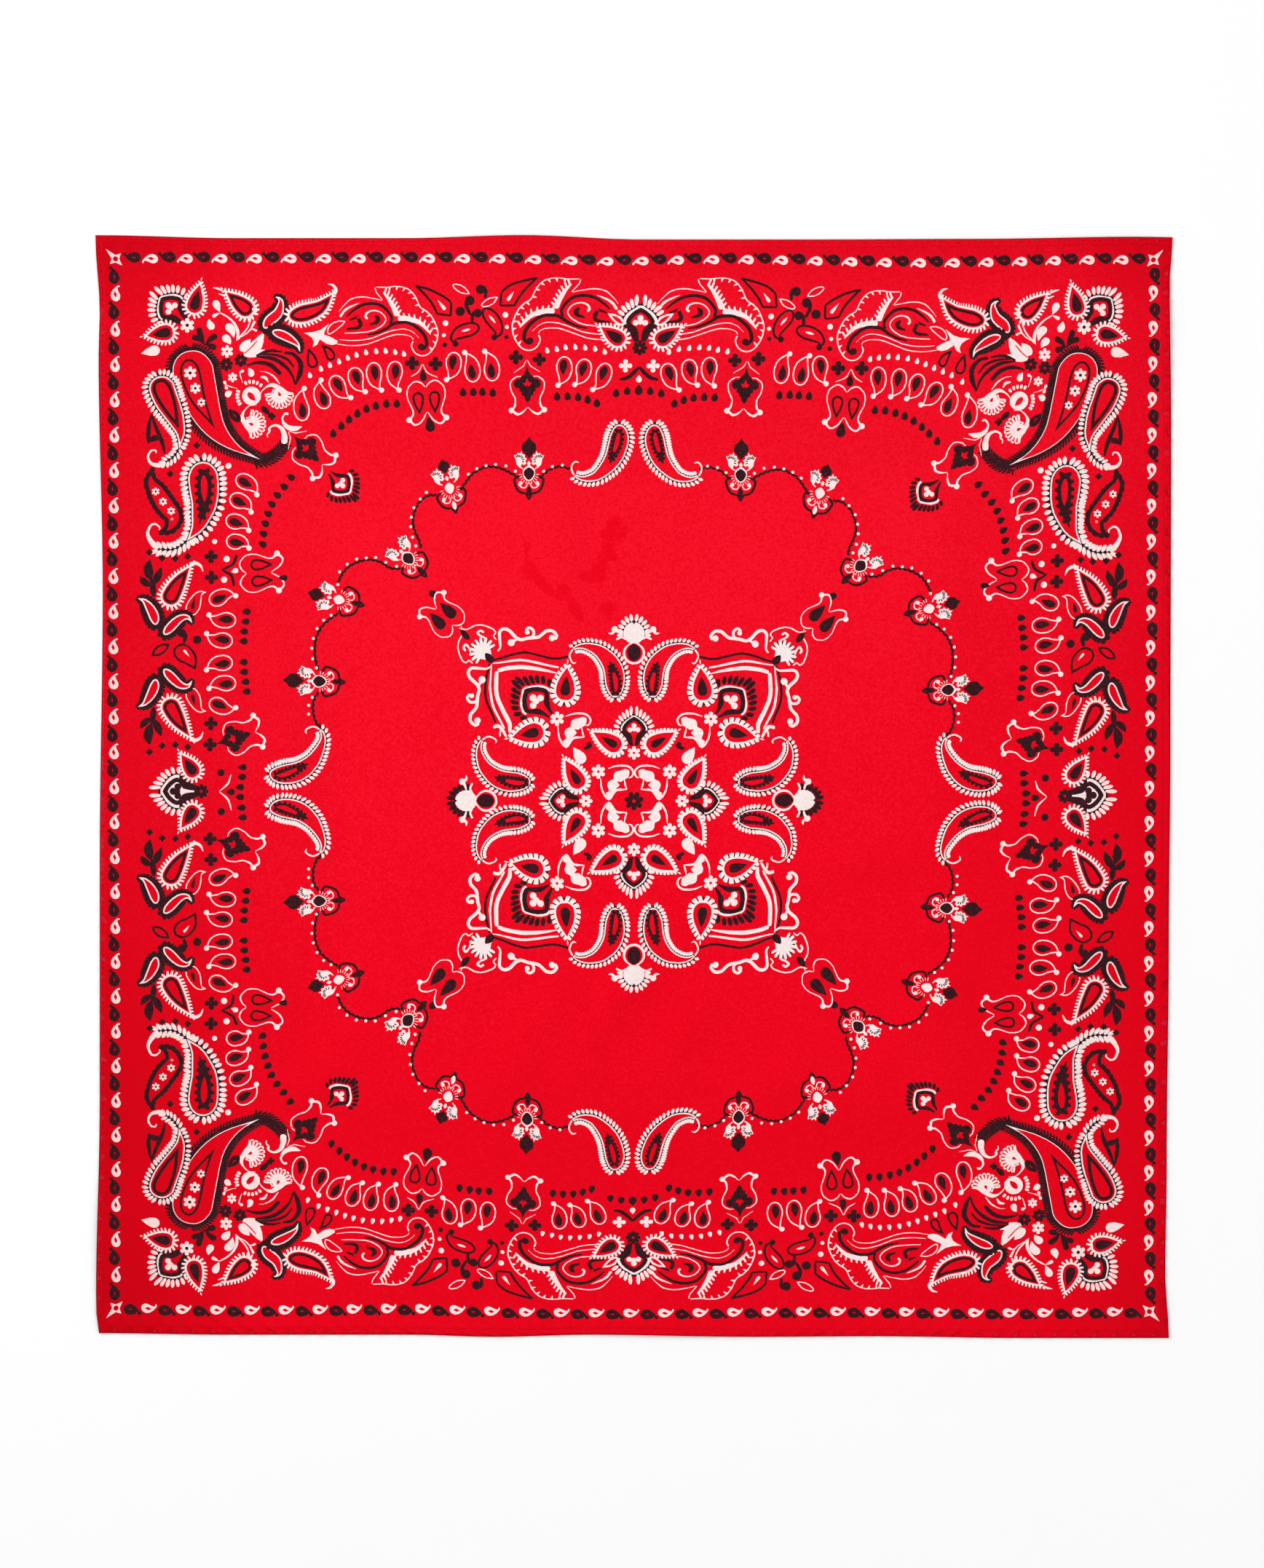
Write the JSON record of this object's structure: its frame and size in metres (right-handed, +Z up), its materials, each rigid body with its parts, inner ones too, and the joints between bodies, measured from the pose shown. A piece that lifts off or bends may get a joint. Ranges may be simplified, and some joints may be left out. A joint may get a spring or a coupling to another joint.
{
  "type": "bandana",
  "caption": "Square hemmed cotton bandana laid flat, printed face up, with a paisley border, a lobed floral frame and a medallion in the middle.",
  "frame": {"origin": "middle of the underside, on the surface that the bandana lies on", "axes": "+Z up out of the printed face, +Y towards the top edge, +X towards the right edge"},
  "size_m": [0.5478, 0.5611, 0.0036],
  "materials": {
    "printed_cotton": "matt plain-woven cotton, printed red with white and black",
    "hem_cotton": "the same cotton, turned twice and stitched"
  },
  "bodies": {
    "root": {"cloth_panel": "printed_cotton", "hem_top": "hem_cotton", "hem_bottom": "hem_cotton", "hem_left": "hem_cotton", "hem_right": "hem_cotton"}
  },
  "joints": []
}
